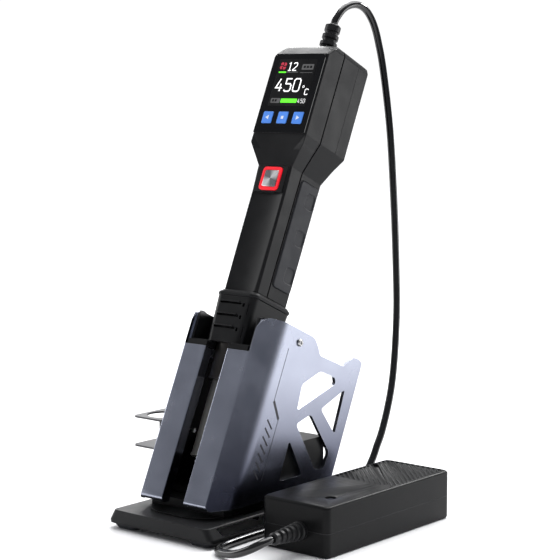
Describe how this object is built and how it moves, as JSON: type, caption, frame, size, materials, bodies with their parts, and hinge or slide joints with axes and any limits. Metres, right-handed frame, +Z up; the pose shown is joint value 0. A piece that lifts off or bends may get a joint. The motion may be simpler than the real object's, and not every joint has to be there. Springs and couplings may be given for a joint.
{
  "type": "hot air rework station",
  "caption": "Leaning sheet-metal stand holding a digital hot air handpiece with a display, keys and heater tube, with a separate power adapter on a cable.",
  "frame": {"origin": "centre of the footprint of stand, handpiece and adapter at table level, measured without the cable", "axes": "+Z up; -Y is the front, where the display and the slot face; +X is the side the power adapter stands on; the handpiece leans back towards +Y"},
  "size_m": [0.2066, 0.2778, 0.4039],
  "materials": {
    "black_plastic": "fine textured",
    "shell_plastic": "satin, fine grain",
    "rubber": "matt",
    "cable_rubber": "smooth, slightly glossy",
    "anodised": "bead-blasted, blue-grey anodised",
    "grey_sheet": "satin",
    "steel": "turned",
    "glass": "polished, tinted",
    "screen": "gloss",
    "blue_key": "satin",
    "red_light": "translucent",
    "brushed": "radially brushed",
    "circuit": "lacquered",
    "copper": "wound wire",
    "ceramic": "matt"
  },
  "bodies": {
    "station": {"adapter_board": "circuit", "adapter_boot": "rubber", "adapter_bottom_case": "shell_plastic", "adapter_capacitor": "shell_plastic", "adapter_heat_sink": "brushed", "adapter_led_lens": "glass", "adapter_top_case": "shell_plastic", "adapter_transformer": "copper", "base_shell": "black_plastic", "cable_lower": "cable_rubber", "cradle": "black_plastic", "cradle_screw_left": "steel", "cradle_screw_right": "steel", "foot_front_left": "rubber", "foot_front_right": "rubber", "foot_rear_left": "rubber", "foot_rear_right": "rubber", "inlet_pin_1": "brushed", "inlet_pin_2": "brushed", "inlet_pin_3": "brushed", "mains_inlet": "black_plastic", "nozzle_rack": "grey_sheet", "plate_screw_left_1": "steel", "plate_screw_left_2": "steel", "plate_screw_right_1": "steel", "plate_screw_right_2": "steel", "rack_screw_1": "steel", "rack_screw_2": "steel", "side_plate_left": "anodised", "side_plate_right": "anodised", "stand_core": "black_plastic"},
    "handpiece": {"front_shell": "shell_plastic", "rear_shell": "shell_plastic", "grip_left": "rubber", "grip_right": "rubber", "shell_screw_1": "steel", "shell_screw_2": "steel", "shell_screw_3": "steel", "shell_screw_4": "steel", "display_lens": "glass", "display_module": "screen", "key_board": "circuit", "button_panel": "black_plastic", "power_ring": "red_light", "power_switch": "black_plastic", "control_board": "circuit", "collar_ring": "black_plastic", "vent_collar": "black_plastic", "heater_sleeve": "steel", "nozzle": "steel", "heater_core": "ceramic", "fan_housing": "black_plastic", "fan_motor": "steel", "head_boot": "rubber", "cable_upper": "cable_rubber"},
    "key_left": {"key_left": "blue_key"},
    "key_centre": {"key_centre": "blue_key"},
    "key_right": {"key_right": "blue_key"},
    "power_cap": {"power_cap": "brushed"},
    "fan_rotor": {"fan_rotor": "shell_plastic"}
  },
  "joints": [
    {"name": "handpiece_lift", "type": "slide", "parent": "station", "child": "handpiece", "axis": [0, 0.4147, 0.91], "range_m": [0, 0.135]},
    {"name": "key_left_press", "type": "slide", "parent": "handpiece", "child": "key_left", "axis": [0, 0.91, -0.4147], "range_m": [0, 0.0005], "stiffness_N_per_m": 1500, "springref_m": -0.0003},
    {"name": "key_centre_press", "type": "slide", "parent": "handpiece", "child": "key_centre", "axis": [0, 0.91, -0.4147], "range_m": [0, 0.0005], "stiffness_N_per_m": 1500, "springref_m": -0.0003},
    {"name": "key_right_press", "type": "slide", "parent": "handpiece", "child": "key_right", "axis": [0, 0.91, -0.4147], "range_m": [0, 0.0005], "stiffness_N_per_m": 1500, "springref_m": -0.0003},
    {"name": "power_press", "type": "slide", "parent": "handpiece", "child": "power_cap", "axis": [0, 0.91, -0.4147], "range_m": [0, 0.0008], "stiffness_N_per_m": 1500, "springref_m": -0.0003},
    {"name": "fan_spin", "type": "hinge", "parent": "handpiece", "child": "fan_rotor", "pos_m": [-0.0283, 0.00483, 0.18171], "axis": [0, 0.4147, 0.91], "continuous": true}
  ]
}
